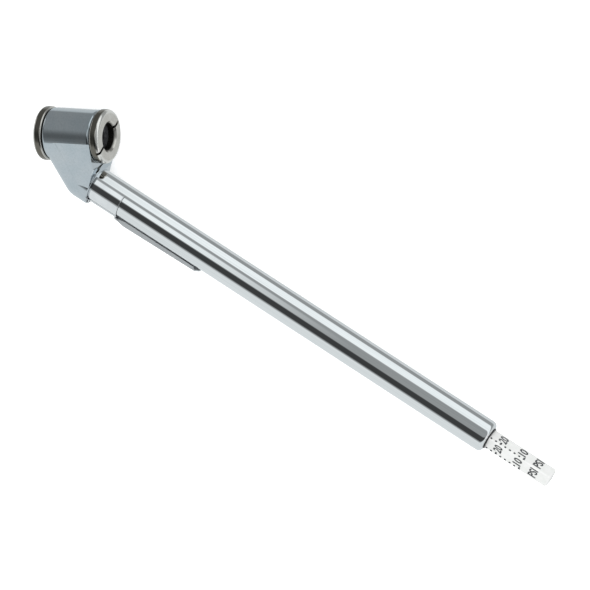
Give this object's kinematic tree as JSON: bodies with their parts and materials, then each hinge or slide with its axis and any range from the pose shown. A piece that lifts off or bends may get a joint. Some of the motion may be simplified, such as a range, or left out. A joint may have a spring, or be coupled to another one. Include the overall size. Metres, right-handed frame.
{
  "type": "tire pressure gauge",
  "caption": "Pencil tyre pressure gauge with a double straight-on chuck, chromed tube, pocket clip and a square sliding indicator bar.",
  "frame": {"origin": "mouth of the front chuck: the start of its bore's wall, on the barrel's axis", "axes": "+X along the tube's axis, away from the head; +Y from the tube towards the barrel; +Z across the flat sides of the head"},
  "size_m": [0.1937, 0.0304, 0.0168],
  "materials": {
    "cast_body": "bright plated casting",
    "nut_plate": "nickel plated, turned",
    "tube_chrome": "mirror chrome",
    "clip_steel": "bright plated sheet",
    "spring_steel": "plain wire",
    "brass": "turned",
    "piston_metal": "turned",
    "rubber": "matt",
    "guide_plastic": "moulded",
    "bar_plastic": "moulded, with a printed scale"
  },
  "bodies": {
    "gauge": {"head_body": "cast_body", "front_nut": "nut_plate", "rear_nut": "nut_plate", "front_washer": "rubber", "rear_washer": "rubber", "front_seat": "brass", "rear_seat": "brass", "tube_gasket": "rubber", "tube": "tube_chrome", "clip": "clip_steel", "spring": "spring_steel", "bar_guide": "guide_plastic"},
    "shuttle": {"shuttle": "brass", "front_shuttle_seal": "rubber", "rear_shuttle_seal": "rubber", "front_pin": "spring_steel", "rear_pin": "spring_steel"},
    "piston": {"piston": "piston_metal", "piston_cup": "rubber", "piston_rivet": "spring_steel"},
    "bar": {"bar": "bar_plastic"}
  },
  "joints": [
    {"name": "shuttle_slide", "type": "slide", "parent": "gauge", "child": "shuttle", "axis": [0.8572, 0.515, 0], "range_m": [-0.00115, 0.00115]},
    {"name": "piston_slide", "type": "slide", "parent": "gauge", "child": "piston", "axis": [1, 0, 0], "range_m": [0, 0.1006], "stiffness_N_per_m": 510, "springref_m": -0.001, "deforming": ["spring"]},
    {"name": "bar_slide", "type": "slide", "parent": "piston", "child": "bar", "axis": [1, 0, 0], "range_m": [-0.021, 0]}
  ]
}
